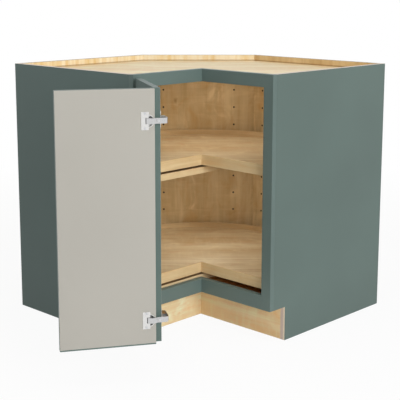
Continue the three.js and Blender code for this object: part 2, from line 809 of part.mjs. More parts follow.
function addDoors() {
  // leaf A turns about its own pivot, and leaf B turns about a pivot on leaf A
  const hingeA = new THREE.Group();
  hingeA.position.set(pivotA[0], pivotA[1], 0);
  hingeA.rotation.z = -OPEN_AT_REST;
  model.add(hingeA);
  const leafA = new THREE.Group();
  leafA.position.set(-pivotA[0], -pivotA[1], 0);
  hingeA.add(leafA);
  const leafB = new THREE.Group();
  leafA.add(leafB);

  const level = ['lower', 'upper'];
  const lining = LINING_T + FIT;
  const holesA = hingeHeights.map((z) => foldPlateScrew(z).hole);
  const panelA = block(leafInner, leafOuter, -leafEnd, -leafMeet, leafBottom, leafTop);
  piece(
    leafA,
    'door_leaf_a',
    carve(panelA, { cut: [...hingeHeights.map((z) => socketCut(z, lining)), ...holesA] }),
    teal(),
  );
  const holesB = hingeHeights.flatMap((z) => cupScrews(z).map(({ hole }) => hole));
  const panelB = block(leafMeet, leafEnd, -leafOuter, -leafInner, leafBottom, leafTop);
  piece(
    leafB,
    'door_leaf_b',
    carve(panelB, {
      cut: [...hingeHeights.map((z) => cupPlug(z, CUP_R + FIT, -1, CUP_DEPTH + lining)), ...holesB],
    }),
    backing(),
  );

  hingeHeights.forEach((z, i) => {
    piece(model, `${level[i]}_stile_hinge_arm`, stileArm(z), nickel());
    piece(model, `${level[i]}_stile_hinge_screw`, stilePlateScrew(z).solid, steel());
    piece(leafA, `${level[i]}_stile_hinge_socket`, socketLining(z), nickel());
    piece(leafA, `${level[i]}_fold_hinge_plate`, foldPlate(z), nickel());
    piece(leafA, `${level[i]}_fold_plate_screw`, foldPlateScrew(z).solid, steel());
    piece(leafA, `${level[i]}_fold_hinge_arm`, foldArm(z), nickel());
    piece(leafA, `${level[i]}_fold_arm_screw`, foldArmScrew(z).solid, steel());
    piece(leafB, `${level[i]}_fold_hinge_cup`, foldCup(z), nickel());
    piece(leafB, `${level[i]}_fold_hinge_pin`, hingePin(pivotB, z, CUP_PIN_L), steel());
    cupScrews(z).forEach(({ solid }, k) => {
      piece(leafB, `${level[i]}_fold_cup_screw_${k + 1}`, solid, steel());
    });
  });
}

addCarcass();
addFaceFrame();
addSupportBoards();
addShelfClips();
addTray('lower', FLOOR_TOP + BOARD_T);
addTray('upper', upperBoardBottom + BOARD_T);
addDoors();

export default cabinet;
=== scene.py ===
import json
import math

import bmesh
import bpy
import numpy as np
from mathutils import Matrix, Vector


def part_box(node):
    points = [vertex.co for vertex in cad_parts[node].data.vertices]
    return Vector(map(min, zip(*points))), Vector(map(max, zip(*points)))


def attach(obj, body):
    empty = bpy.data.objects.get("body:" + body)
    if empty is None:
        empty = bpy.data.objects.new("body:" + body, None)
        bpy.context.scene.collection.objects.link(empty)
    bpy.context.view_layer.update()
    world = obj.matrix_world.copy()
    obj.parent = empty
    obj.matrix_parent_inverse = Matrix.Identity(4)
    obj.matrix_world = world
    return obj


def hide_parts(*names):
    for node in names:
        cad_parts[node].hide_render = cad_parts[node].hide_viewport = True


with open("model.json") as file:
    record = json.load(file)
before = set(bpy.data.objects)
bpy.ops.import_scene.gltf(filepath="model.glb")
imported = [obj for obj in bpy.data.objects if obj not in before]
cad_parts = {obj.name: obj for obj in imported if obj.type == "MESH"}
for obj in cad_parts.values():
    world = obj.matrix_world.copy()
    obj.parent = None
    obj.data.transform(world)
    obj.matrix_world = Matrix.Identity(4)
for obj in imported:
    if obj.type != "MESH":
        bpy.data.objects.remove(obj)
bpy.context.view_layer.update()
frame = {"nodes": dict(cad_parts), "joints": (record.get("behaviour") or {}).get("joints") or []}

nodes = frame["nodes"]
joints = {joint["name"]: joint for joint in frame["joints"]}

# ------------------------------------------------------------------ measures, in metres
X, Y, Z = 0, 1, 2
BOARD = 0.019  # thickness of the panels
CORNER_CUT = 0.3175  # what the diagonal back panel cuts off along each wall
TO_ORIGIN = (CORNER_CUT + BOARD / math.sqrt(2)) / 2  # from both walls to the frame's origin
DIAGONAL = math.radians(45)  # turn of the diagonal back panel, and of the grain across the corner
REST = math.radians(joints["leaf_a_swing"]["range_deg"][0])  # leaf A at rest, turned from closed
TRAY_CENTRE = joints["lower_tray_turn"]["pos_m"][:2]
FOIL_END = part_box("door_leaf_a")[0][Z] + 0.0045  # the foil of the leaves stops at this height
LIP_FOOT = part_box("top_panel")[1][Z] + 0.0002  # the back panels show above this height
LIP_SHADOW_H = 0.0045

# shelf-pin holes
HOLE_R, HOLE_DEEP = 0.0025, 0.010
HOLE_LOWEST, HOLE_PITCH, HOLE_ROWS = 0.262, 0.0684, 8
HOLE_HIGHEST = HOLE_LOWEST + (HOLE_ROWS - 1) * HOLE_PITCH
REAR_COLUMN, FRONT_COLUMN = 0.370, 0.540  # from the corner of the walls, along each wall
HOLE_COLUMNS = (REAR_COLUMN - TO_ORIGIN, FRONT_COLUMN - TO_ORIGIN)  # from the frame's origin
DIAGONAL_COLUMN = 0.1385  # from the middle of the diagonal back panel, to both sides

# how far edges are eased, and the screws
LEAF_ROUND = 0.0015
FRAME_EDGE, SUPPORT_EDGE, PANEL_EDGE = 0.0007, 0.0008, 0.0006
TRAY_EDGE, HINGE_EDGE = 0.0011, 0.0003
HEAD_R, HEAD_H, SHANK_R, POINT_H = 0.0036, 0.0016, 0.0016, 0.001
# radius and height along the dome, as shares of the head's
HEAD_SECTION = [(1.0, 0.0), (1.0, 0.34), (0.965, 0.62), (0.87, 0.84), (0.73, 0.96), (0.60, 1.0)]
RECESS_LONG, RECESS_HALF, RECESS_DEEP = 0.00175, 0.00038, 0.0010  # one arm of the cross recess
SCREW_SIDES = 24

# ------------------------------------------------------------------ display colours, 0 to 255
PAINT = (95, 112, 107)
# the face frame's and the left end panel's tones are copies of the same teal: the frame's is lighter,
# painted light, and the left end panel's darker, painted shade on the side that gets less light
FRAME_PAINT_LIT = (100, 117, 113)
LEFT_PAINT_SHADED = (91, 109, 105)
TOP_EDGE_PAINT = (72, 88, 84)
FOIL, FOIL_LIGHT, FOIL_WEAVE = (175, 172, 164), (179, 176, 168), (160, 156, 148)

# the light and the dark tone of each kind of board
END_WOOD = ((226, 203, 162), (199, 169, 123))
BACK_WOOD = ((226, 203, 158), (195, 167, 119))
TOP_WOOD = ((243, 227, 190), (225, 197, 150))
# the floor panel's tones are darker and more orange than the other maple: painted shade under the lower
# tray
FLOOR_WOOD_SHADED = ((224, 170, 104), (188, 126, 68))
RIGHT_TOE_WOOD = ((247, 228, 187), (230, 197, 146))
LEFT_TOE_WOOD = ((248, 233, 196), (230, 202, 152))
SUPPORT_WOOD = ((233, 211, 170), (213, 185, 138))
TRAY_WOOD = ((230, 211, 172), (202, 172, 126))
RIM_WOOD = ((226, 202, 160), (200, 168, 120))
RAIL_WOOD = ((232, 210, 168), (212, 182, 134))
RIGHT_LIP = ((226, 192, 136), (196, 150, 92))
LEFT_LIP = ((250, 236, 206), (234, 202, 142))
DIAGONAL_LIP = ((240, 227, 198), (228, 198, 142))
# the support boards' tint on faces that look up is painted shade, from the trays above them
BACK_CROWN, SUPPORT_TOP_SHADE = (128, 112, 84), (120, 74, 36)  # on faces that look up
# the pale tint of a painted highlight: streaks of sheen on the tray floors
SHEEN_TINT = (250, 236, 202)
# the near black of the shelf-pin holes: painted shade in the bores
BORE_SHADE = (36, 19, 9)
LIP_SHADOW = (126, 88, 50)
PLY_DARK, PLY_PORES = (186, 152, 112), (150, 116, 80)
RAW_BOARD_PORES = (160, 132, 112)
RAW_BOARD = [  # the cut edge of an end panel, from its inner face (0) to its outer face (1)
    (0.00, (226, 203, 168)),
    (0.05, (212, 194, 182)),
    (0.60, (220, 202, 192)),
    (0.66, (236, 222, 200)),
    (0.94, (232, 216, 190)),
    (0.97, PAINT),
]


def srgb(r, g, b):
    """Linear colour from a display colour."""

    def linear(c):
        c /= 255.0
        return c / 12.92 if c <= 0.04045 else ((c + 0.055) / 1.055) ** 2.4

    return (linear(r), linear(g), linear(b))


# ------------------------------------------------------------------ helpers for shader nodes
def new_material(name):
    """A material, with its node tree and its Principled shader."""
    m = bpy.data.materials.new(name)
    m.use_nodes = True
    return m, m.node_tree, m.node_tree.nodes["Principled BSDF"]


def link(t, a, b):
    t.links.new(a, b)


def feed(t, value, socket):
    """Links an output to a socket, or gives the socket a number or a linear colour."""
    if isinstance(value, (int, float)):
        socket.default_value = value
    elif isinstance(value, tuple):
        socket.default_value = (*value, 1.0)
    else:
        link(t, value, socket)


def math_node(t, operation, a, b=None):
    """The result of a sum on outputs or numbers."""
    n = t.nodes.new("ShaderNodeMath")
    n.operation = operation
    feed(t, a, n.inputs[0])
    if b is not None:
        feed(t, b, n.inputs[1])
    return n.outputs[0]


def plus(t, a, b):
    return math_node(t, "ADD", a, b)


def minus(t, a, b):
    return math_node(t, "SUBTRACT", a, b)


def times(t, a, b):
    return math_node(t, "MULTIPLY", a, b)


def size_of(t, value):
    """The value without its sign."""
    return math_node(t, "ABSOLUTE", value)


def above(t, value, limit):
    """1 where the value is over the limit, otherwise 0."""
    return math_node(t, "GREATER_THAN", value, limit)


def below(t, value, limit):
    """1 where the value is under the limit, otherwise 0."""
    return math_node(t, "LESS_THAN", value, limit)


def between(t, value, low, high):
    """1 where the value lies between two limits, otherwise 0."""
    return times(t, above(t, value, low), below(t, value, high))


def hypotenuse(t, a, b):
    """The length of a line that goes a one way and b at a right angle to it."""
    return math_node(t, "SQRT", plus(t, times(t, a, a), times(t, b, b)))


def fade(t, value, start, full):
    """0 where the value is at start, 1 where it is at full, and even in between."""
    n = t.nodes.new("ShaderNodeMapRange")
    n.clamp = True
    n.inputs["From Min"].default_value = start
    n.inputs["From Max"].default_value = full
    link(t, value, n.inputs["Value"])
    return n.outputs[0]


def mix_number(t, share, a, b):
    n = t.nodes.new("ShaderNodeMix")
    n.data_type = "FLOAT"
    feed(t, share, n.inputs[0])
    feed(t, a, n.inputs[2])
    feed(t, b, n.inputs[3])
    return n.outputs[0]


def mix_color(t, share, a, b):
    n = t.nodes.new("ShaderNodeMix")
    n.data_type = "RGBA"
    n.clamp_result = True
    feed(t, share, n.inputs[0])
    feed(t, a, n.inputs[6])
    feed(t, b, n.inputs[7])
    return n.outputs[2]


def layer(t, color, share, amount, tint):
    """Lays a display colour over a colour, by a share times an amount."""
    return mix_color(t, times(t, share, amount), color, srgb(*tint))


def color_steps(t, value, stops, interpolation="LINEAR"):
    """A colour that follows a value through stops of (value, display colour)."""
    n = t.nodes.new("ShaderNodeValToRGB")
    steps = n.color_ramp
    steps.interpolation = interpolation
    while len(steps.elements) < len(stops):
        steps.elements.new(0.5)
    for element, (position, color) in zip(steps.elements, stops):
        element.position = position
        element.color = (*srgb(*color), 1.0)
    link(t, value, n.inputs[0])
    return n.outputs[0]


def mapping(t, vector, loc=(0, 0, 0), rot=(0, 0, 0), scale=(1, 1, 1)):
    n = t.nodes.new("ShaderNodeMapping")
    n.inputs["Location"].default_value = loc
    n.inputs["Rotation"].default_value = rot
    n.inputs["Scale"].default_value = scale
    link(t, vector, n.inputs["Vector"])
    return n.outputs[0]


def noise(t, place, scale, detail, rough=0.5, distortion=0.0, stretch=None):
    """Soft noise of about scale waves to a metre, which stretch multiplies along each axis."""
    if stretch:
        place = mapping(t, place, scale=stretch)
    n = t.nodes.new("ShaderNodeTexNoise")
    n.inputs["Scale"].default_value = scale
    n.inputs["Detail"].default_value = detail
    n.inputs["Roughness"].default_value = rough
    n.inputs["Distortion"].default_value = distortion
    link(t, place, n.inputs["Vector"])
    return n.outputs["Fac"]


def axis_of(t, vector, axis):
    n = t.nodes.new("ShaderNodeSeparateXYZ")
    link(t, vector, n.inputs[0])
    return n.outputs[axis]


def piece_space(t, turn=0.0):
    """Place and normal on a piece at rest, in the frame, then turned by an angle about Z."""
    n = t.nodes.new("ShaderNodeTexCoord")
    place = n.outputs["Object"]
    normal = n.outputs["Normal"]
    if turn:
        place = mapping(t, place, rot=(0, 0, turn))
        normal = mapping(t, normal, rot=(0, 0, turn))
    return place, normal


def bump(t, bsdf, height, strength, distance):
    n = t.nodes.new("ShaderNodeBump")
    n.inputs["Strength"].default_value = strength
    n.inputs["Distance"].default_value = distance
    link(t, height, n.inputs["Height"])
    link(t, n.outputs[0], bsdf.inputs["Normal"])


# ------------------------------------------------------------------ maple plywood
GRAIN_TURNS = {  # Euler angles that turn the fibres' direction onto the texture's Z axis
    X: (0, math.radians(-90), 0),
    Y: (math.radians(90), 0, 0),
    Z: (0, 0, 0),
}
ARC_RADIUS = 0.4  # where fibres that follow a circle keep their true length
SEED_STEPS = (1.37, 0.71, 0.93)  # what one more of a seed moves the figure
RINGS_PER_METRE, RING_WANDER, RING_SHARPNESS = 34.0, 20.0, 4.0
PLY_COUNT = 7


def fibre_space(t, place, grain, seed, polar):
    """Coordinates whose Z axis runs along the fibres, moved by a seed so that boards differ."""
    if polar:
        dx = minus(t, axis_of(t, place, X), polar[0])
        dy = minus(t, axis_of(t, place, Y), polar[1])
        n = t.nodes.new("ShaderNodeCombineXYZ")
        link(t, hypotenuse(t, dx, dy), n.inputs[0])
        link(t, axis_of(t, place, Z), n.inputs[1])
        link(t, times(t, math_node(t, "ARCTAN2", dy, dx), ARC_RADIUS), n.inputs[2])
        fibres = n.outputs[0]
    else:
        fibres = mapping(t, place, rot=GRAIN_TURNS[grain])
    return mapping(t, fibres, loc=[seed * step for step in SEED_STEPS])


def veneer(t, fibres, wood, figure):
    """The colour of a maple face, and the streaks, fibres and flecks that other finishes use."""
    light, dark = wood

    def figured(across, along, scale, detail, rough, distortion=0.0):
        """Noise with its own number of waves across the fibres and along them."""
        return noise(t, fibres, scale, detail, rough, distortion, stretch=(across, across, along))

    drift = figured(7, 1.3, 1.5, 4, 0.6, 0.5)  # slow change of tone
    where = figured(4, 2.6, 1.3, 2, 0.5, 0.3)  # where the figure shows
    streak = figured(46, 2.2, 1.0, 3, 0.55, 0.3)
    mottle = figured(20, 12, 1.0, 3, 0.55, 0.7)
    curl = figured(9, 48, 1.0, 2, 0.5, 0.8)
    warp = figured(4, 0.9, 1.3, 2, 0.5, 0.2)  # bends the growth rings
    fibre = figured(420, 9, 1.0, 4, 0.65)
    fleck = figured(1500, 70, 1.0, 2, 0.6)  # pores
    knot = figured(15, 9, 1.0, 2, 0.5, 0.6)
    sideways = plus(t, axis_of(t, fibres, X), axis_of(t, fibres, Y))
    bent = plus(t, times(t, sideways, RINGS_PER_METRE), times(t, warp, RING_WANDER))
    rings = math_node(t, "POWER", math_node(t, "PINGPONG", bent, 1.0), RING_SHARPNESS)

    middle = tuple((a + b) / 2 for a, b in zip(light, dark))
    deep = (dark[0] * 0.88, dark[1] * 0.80, dark[2] * 0.68)
    honey = (dark[0] * 1.03, dark[1] * 0.92, dark[2] * 0.78)
    pale = tuple(min(244, c * 1.07) for c in light)
    patch = fade(t, where, 0.42, 0.62)

    col = color_steps(t, drift, [(0.32, dark), (0.50, middle), (0.68, light)])
    col = layer(t, col, fade(t, streak, 0.52, 0.72), 0.30, honey)
    col = layer(t, col, fade(t, streak, 0.46, 0.28), 0.34, pale)
    col = layer(t, col, times(t, rings, patch), 0.13 * figure, deep)
    col = layer(t, col, times(t, fade(t, mottle, 0.50, 0.66), patch), 0.55 * figure, pale)
    col = layer(t, col, fade(t, mottle, 0.46, 0.30), 0.30 * figure, honey)
    col = layer(t, col, fade(t, curl, 0.50, 0.72), 0.16 * figure, pale)
    col = layer(t, col, fade(t, knot, 0.70, 0.80), 0.50 * figure, deep)
    col = layer(t, col, fade(t, fibre, 0.50, 0.72), 0.20, deep)
    col = layer(t, col, fade(t, fleck, 0.60, 0.74), 0.14, deep)
    return col, streak, fibre, fleck


def painted_sheen(t, col, place, streak, start, full, share):
    """Paints a highlight: makes the wood paler to one side, in streaks, as painted sheen. start and full
    are places on the Y axis.
    """
    streaks = plus(t, fade(t, streak, 0.40, 0.60), 0.25)
    side = times(t, fade(t, axis_of(t, place, Y), start, full), streaks)
    return layer(t, col, side, share, SHEEN_TINT)


def lip_strip(t, col, place, fibres, share, wood):
    """Colours the strip of a back panel above the top panel, with a shadow along its foot."""
    light, dark = wood
    up = axis_of(t, place, Z)
    bands = noise(t, fibres, 1.0, 3, 0.6, stretch=(40, 40, 3))
    strip = mix_color(t, fade(t, bands, 0.32, 0.60), srgb(*dark), srgb(*light))
    col = mix_color(t, times(t, above(t, up, LIP_FOOT), share), col, strip)
    return layer(t, col, between(t, up, LIP_FOOT, LIP_FOOT + LIP_SHADOW_H), 0.55, LIP_SHADOW)


def ply_edges(t, col, place, normal, slab, face_color):
    """Draws the layers of plywood on the edges of a panel."""
    axis, low, high, _ = slab
    on_edge = below(t, size_of(t, axis_of(t, normal, axis)), 0.5)
    waver = times(t, minus(t, noise(t, place, 1.0, 2, stretch=(40, 40, 40)), 0.5), 0.02)
    depth = math_node(t, "DIVIDE", minus(t, axis_of(t, place, axis), low), high - low)
    plies = math_node(t, "PINGPONG", times(t, plus(t, depth, waver), PLY_COUNT), 1.0)
    pores = noise(t, place, 1.0, 2, 0.6, stretch=(900, 900, 900))
    edge = mix_color(t, above(t, plies, 0.5), srgb(*[c * 0.98 for c in face_color]), srgb(*PLY_DARK))
    edge = layer(t, edge, fade(t, pores, 0.5, 0.7), 0.35, PLY_PORES)
    return mix_color(t, on_edge, col, edge)


def paint_bore_shade(t, col, place, slab, columns):
    """Darkens the bores and the drilled edges of the shelf-pin holes, as painted shade in the hollows.
    """
    axis, low, high, room = slab
    face = high if room > 0 else low
    depth = times(t, minus(t, axis_of(t, place, axis), face), -room)
    along = size_of(t, axis_of(t, place, 1 - axis))
    aside = size_of(t, minus(t, along, columns[0]))
    for column in columns[1:]:
        aside = math_node(t, "MINIMUM", aside, size_of(t, minus(t, along, column)))
    up = axis_of(t, place, Z)
    lifted = minus(t, up, HOLE_LOWEST - HOLE_PITCH / 2)
    rise = minus(t, math_node(t, "FLOORED_MODULO", lifted, HOLE_PITCH), HOLE_PITCH / 2)
    near = fade(t, hypotenuse(t, aside, rise), HOLE_R + 0.0015, HOLE_R + 0.0006)
    near = times(t, near, between(t, depth, -0.0004, HOLE_DEEP + 0.0025))
    near = times(t, near, between(t, up, HOLE_LOWEST - 0.01, HOLE_HIGHEST + 0.01))
    return mix_color(t, near, col, srgb(*BORE_SHADE))


def maple(name, grain, seed, wood, turn=0.0, polar=None, figure=1.0,
          slab=None, plies=False, columns=None, lip=None, crown=None, sheen=None):
    """Clear-finished maple in two tones. Its fibres run along the grain axis once the piece is
    turned about Z, or round the point polar, and figure is how strong its figure is.
    slab = (axis, low, high, room) gives a panel's two faces, and 1 or -1 for the way its room
    side looks. plies draws its layers, and columns are the columns of its holes, whose bores get
    painted shade. lip holds what lip_strip takes last, and the last argument holds what the painted
    highlight, pale streaks of sheen to one side, takes last. crown = (share, colour) tints the
    faces that look up, which on the support boards is painted shade."""
    m, t, bsdf = new_material(name)
    place, normal = piece_space(t, turn)
    fibres = fibre_space(t, place, grain, seed, polar)
    col, streak, fibre, fleck = veneer(t, fibres, wood, figure)
    if sheen:
        col = painted_sheen(t, col, place, streak, *sheen)
    if lip:
        col = lip_strip(t, col, place, fibres, *lip)
    if plies:
        col = ply_edges(t, col, place, normal, slab, wood[0])
    if crown:
        col = layer(t, col, above(t, axis_of(t, normal, Z), 0.5), *crown)
    if columns:
        col = paint_bore_shade(t, col, place, slab, columns)
    link(t, col, bsdf.inputs["Base Color"])
    link(t, plus(t, times(t, fibre, 0.16), 0.34), bsdf.inputs["Roughness"])
    bsdf.inputs["Specular IOR Level"].default_value = 0.30
    height = plus(t, times(t, fibre, 0.7), times(t, fleck, 0.3))
    bump(t, bsdf, height, strength=0.12, distance=0.0006)
    return m


# ------------------------------------------------------------------ paint, foil, metal and nylon
def sprayed_coat(t, place, base):
    """Colour, roughness and height of satin paint."""
    cloud = noise(t, place, 3.0, 2)
    darker = srgb(*[c * 0.975 for c in base])
    lighter = srgb(*[min(255, c * 1.02) for c in base])
    col = mix_color(t, fade(t, cloud, 0.35, 0.65), darker, lighter)
    peel = noise(t, place, 520, 2, 0.45)
    hair = noise(t, place, 260, 3, 0.6, stretch=(1, 1, 0.12))
    height = plus(t, times(t, peel, 0.7), times(t, hair, 0.3))
    rough = plus(t, times(t, cloud, 0.08), 0.40)
    return col, rough, height


def satin_paint(name, base):
    """Sprayed paint on every side."""
    m, t, bsdf = new_material(name)
    place, _ = piece_space(t)
    col, rough, height = sprayed_coat(t, place, base)
    link(t, col, bsdf.inputs["Base Color"])
    link(t, rough, bsdf.inputs["Roughness"])
    bsdf.inputs["Specular IOR Level"].default_value = 0.28
    bump(t, bsdf, height, strength=0.10, distance=0.0004)
    return m


def leaf_finish(name, axis, inward):
    """Paint on the front and the edges of a leaf, and greige foil on its inner face, down to just
    above its lower edge. On the closed door, the inner face looks along the axis times inward."""
    m, t, bsdf = new_material(name)
    place, normal = piece_space(t, -REST)
    col, rough, height = sprayed_coat(t, place, PAINT)
    facing = times(t, axis_of(t, normal, axis), inward)
    inner = times(t, above(t, facing, 0.8), above(t, axis_of(t, place, Z), FOIL_END))
    weave = noise(t, place, 900, 2, stretch=(1, 1, 0.25))
    shade = noise(t, place, 2.2, 2)
    foil = mix_color(t, fade(t, shade, 0.35, 0.65), srgb(*FOIL), srgb(*FOIL_LIGHT))
    foil = layer(t, foil, weave, 0.10, FOIL_WEAVE)
    col = layer(t, col, above(t, axis_of(t, normal, Z), 0.8), 0.5, TOP_EDGE_PAINT)
    link(t, mix_color(t, inner, col, foil), bsdf.inputs["Base Color"])
    link(t, plus(t, times(t, inner, 0.10), rough), bsdf.inputs["Roughness"])
    bsdf.inputs["Specular IOR Level"].default_value = 0.28
    bump(t, bsdf, mix_number(t, inner, height, weave), strength=0.10, distance=0.0003)
    return m


def end_panel_finish(name, slab, base):
    """An end panel: maple on the room side, paint outside, and raw board on the cut edges."""
    axis, low, high, room = slab
    m = maple(name, Z, 3.1 - room, END_WOOD, slab=slab, columns=HOLE_COLUMNS)
    t = m.node_tree
    bsdf = t.nodes["Principled BSDF"]
    wood = bsdf.inputs["Base Color"].links[0].from_socket
    wood_rough = bsdf.inputs["Roughness"].links[0].from_socket
    place, normal = piece_space(t)
    facing = times(t, axis_of(t, normal, axis), -room)
    outside = above(t, facing, 0.5)
    # the walls of the holes look the same way as the cut edges, but aren't raw board
    along = size_of(t, axis_of(t, place, 1 - axis))
    near_holes = times(t, between(t, along, HOLE_COLUMNS[0] - 0.015, HOLE_COLUMNS[1] + 0.015),
                       between(t, axis_of(t, place, Z), HOLE_LOWEST - 0.02, HOLE_HIGHEST + 0.02))
    edge = times(t, below(t, size_of(t, facing), 0.5), minus(t, 1.0, near_holes))
    depth = math_node(t, "DIVIDE", minus(t, axis_of(t, place, axis), low), high - low)
    if room > 0:
        depth = minus(t, 1.0, depth)
    pores = noise(t, place, 700, 3, 0.6)
    board = color_steps(t, depth, RAW_BOARD, "CONSTANT")
    board = layer(t, board, fade(t, pores, 0.45, 0.7), 0.25, RAW_BOARD_PORES)
    paint, paint_rough, _ = sprayed_coat(t, place, base)
    col = mix_color(t, outside, mix_color(t, edge, wood, board), paint)
    link(t, col, bsdf.inputs["Base Color"])
    link(t, mix_number(t, outside, wood_rough, paint_rough), bsdf.inputs["Roughness"])
    return m


def metal(name, color, rough):
    """Steel, bare or plated, in a linear colour, with a faint upright brushing."""
    m, t, bsdf = new_material(name)
    place, _ = piece_space(t)
    cloud = noise(t, place, 60, 3, 0.6)
    brushing = noise(t, place, 900, 2, stretch=(1, 1, 0.1))
    lighter = tuple(min(1.0, c * 1.05) for c in color)
    link(t, mix_color(t, fade(t, cloud, 0.3, 0.7), color, lighter), bsdf.inputs["Base Color"])
    bsdf.inputs["Metallic"].default_value = 1.0
    link(t, plus(t, times(t, brushing, 0.06), rough - 0.03), bsdf.inputs["Roughness"])
    bump(t, bsdf, brushing, strength=0.02, distance=0.0001)
    return m


def plastic(name, color, rough):
    """Moulded plastic in a linear colour."""
    m, t, bsdf = new_material(name)
    place, _ = piece_space(t)
    cloud = noise(t, place, 90, 3)
    darker = tuple(c * 0.93 for c in color)
    link(t, mix_color(t, fade(t, cloud, 0.3, 0.7), color, darker), bsdf.inputs["Base Color"])
    bsdf.inputs["Roughness"].default_value = rough
    bump(t, bsdf, noise(t, place, 800, 2), strength=0.06, distance=0.0003)
    return m


# the face frame gets the lighter copy of the teal, painted light
TEAL = satin_paint("teal_paint", FRAME_PAINT_LIT)
LEAF_A = leaf_finish("leaf_a_finish", X, -1)
LEAF_B = leaf_finish("leaf_b_finish", Y, 1)
NICKEL = metal("nickel_plate", (0.74, 0.735, 0.72), 0.24)
ARM_STEEL = metal("arm_steel", (0.60, 0.60, 0.60), 0.28)
ZINC = metal("zinc_steel", (0.70, 0.71, 0.72), 0.30)
NYLON = plastic("nylon", srgb(228, 222, 208), 0.45)


# ------------------------------------------------------------------ surfaces of the CAD pieces
MERGE = 1e-5  # corners closer than this are one corner


def new_object(name, data):
    """An object of its own in the scene."""
    o = bpy.data.objects.new(name, data)
    bpy.context.scene.collection.objects.link(o)
    return o


def dress(name, material):
    """Gives a CAD piece a material."""
    slots = nodes[name].data.materials
    if slots:
        for i in range(len(slots)):
            slots[i] = material
    else:
        slots.append(material)


def weld(name):
    """Joins the triangles of a CAD piece into whole faces, which the other modifiers need."""
    mods = nodes[name].modifiers
    if "weld" not in mods:
        mods.new("weld", "WELD").merge_threshold = MERGE
        faces = mods.new("faces", "DECIMATE")
        faces.decimate_type = "DISSOLVE"
        faces.angle_limit = math.radians(0.5)


def soften(name, width, segments=2, angle=40):
    """Breaks the sharp edges of a piece."""
    weld(name)
    mod = nodes[name].modifiers.new("soften", "BEVEL")
    mod.width = width
    mod.segments = segments
    mod.limit_method = "ANGLE"
    mod.angle_limit = math.radians(angle)
    mod.loop_slide = False


def smooth_group(angle):
    """Geometry nodes that shade a surface smoothly where its faces meet at less than the angle."""
    g = bpy.data.node_groups.new("smooth_by_angle", "GeometryNodeTree")
    g.interface.new_socket("Geometry", in_out="INPUT", socket_type="NodeSocketGeometry")
    g.interface.new_socket("Geometry", in_out="OUTPUT", socket_type="NodeSocketGeometry")
    start = g.nodes.new("NodeGroupInput")
    end = g.nodes.new("NodeGroupOutput")
    bend = g.nodes.new("GeometryNodeInputMeshEdgeAngle")
    flat = g.nodes.new("FunctionNodeCompare")
    flat.operation = "LESS_THAN"
    flat.inputs["B"].default_value = math.radians(angle)
    faces = g.nodes.new("GeometryNodeSetShadeSmooth")
    edges = g.nodes.new("GeometryNodeSetShadeSmooth")
    edges.domain = "EDGE"
    g.links.new(bend.outputs["Unsigned Angle"], flat.inputs["A"])
    g.links.new(start.outputs[0], faces.inputs["Geometry"])
    g.links.new(faces.outputs[0], edges.inputs["Geometry"])
    g.links.new(flat.outputs[0], edges.inputs["Shade Smooth"])
    g.links.new(edges.outputs[0], end.inputs[0])
    return g


SMOOTH_ANGLE = 35
SMOOTH = smooth_group(SMOOTH_ANGLE)


def round_off(name):
    """Shades the curved faces of a CAD piece as curves."""
    weld(name)
    nodes[name].modifiers.new("round_off", "NODES").node_group = SMOOTH


# ------------------------------------------------------------------ pieces that stand for CAD nodes
def settled_mesh(o, name):
    """The mesh of an object with its modifiers applied, on its own."""
    depsgraph = bpy.context.evaluated_depsgraph_get()
    mesh = bpy.data.meshes.new_from_object(o.evaluated_get(depsgraph))
    mesh.name = name
    return mesh


def rounded_block(corners, turn, radius):
    """A block with rounded edges round some points, turned by an angle about Z. It stands a
    little outside the points, so that a slab that it cuts keeps its own faces."""
    grow = 2e-5
    back = Matrix.Rotation(-turn, 4, "Z")
    corners = [back @ corner for corner in corners]
    low = [min(corner[i] for corner in corners) - grow for i in range(3)]
    high = [max(corner[i] for corner in corners) + grow for i in range(3)]
    bm = bmesh.new()
    bmesh.ops.create_cube(bm, size=1.0)
    for v in bm.verts:
        v.co = Vector(low[i] if v.co[i] < 0 else high[i] for i in range(3))
    bmesh.ops.bevel(bm, geom=bm.edges[:], offset=radius, segments=4, profile=0.5, affect="EDGES")
    bm.transform(back.inverted())
    mesh = bpy.data.meshes.new("block")
    bm.to_mesh(mesh)
    bm.free()
    return mesh


def rounded_slab(name, turn, radius):
    """Stands for a CAD slab: what the slab shares with a rounded block of its size."""
    cad = nodes[name].data
    block = new_object("block", rounded_block([v.co for v in cad.vertices], turn, radius))
    slab = new_object("slab", cad.copy())
    slab.modifiers.new("weld", "WELD").merge_threshold = MERGE
    cut = slab.modifiers.new("cut", "BOOLEAN")
    cut.operation = "INTERSECT"
    cut.object = block
    cut.solver = "EXACT"
    mesh = settled_mesh(slab, f"{name}_board")
    bpy.data.objects.remove(block)
    bpy.data.objects.remove(slab)
    piece = new_object(f"{name}_board", mesh)
    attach(piece, name)
    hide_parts(name)


def screw_place(name):
    """A matrix whose Z axis runs out of the head of a CAD screw, from where the head rests, and
    the length of the shank."""
    points = np.unique(np.round([v.co for v in nodes[name].data.vertices], 6), axis=0)
    middle = points.mean(0)
    axis = np.linalg.eigh(np.cov((points - middle).T))[1][:, -1]
    along = (points - middle) @ axis
    off = np.linalg.norm(points - middle - np.outer(along, axis), axis=1)
    head = off > (HEAD_R + SHANK_R) / 2
    if along[head].mean() < 0:
        axis = -axis
        along = -along
    place = Vector(axis).to_track_quat("Z", "Y").to_matrix().to_4x4()
    place.translation = Vector(middle + axis * along[head].min())
    return place, float(along[head].min() - along.min())


def circle(radius):
    """Points round the Z axis."""
    steps = [2 * math.pi * i / SCREW_SIDES for i in range(SCREW_SIDES)]
    return [(radius * math.cos(a), radius * math.sin(a)) for a in steps]


def cross(share):
    """The outline of the cross recess, with its arms shortened to a share of their length."""
    long = RECESS_LONG * share
    points = [(long, -RECESS_HALF), (long, RECESS_HALF), (RECESS_HALF, RECESS_HALF)]
    for _ in range(3):
        points += [(-y, x) for x, y in points[-3:]]
    return points


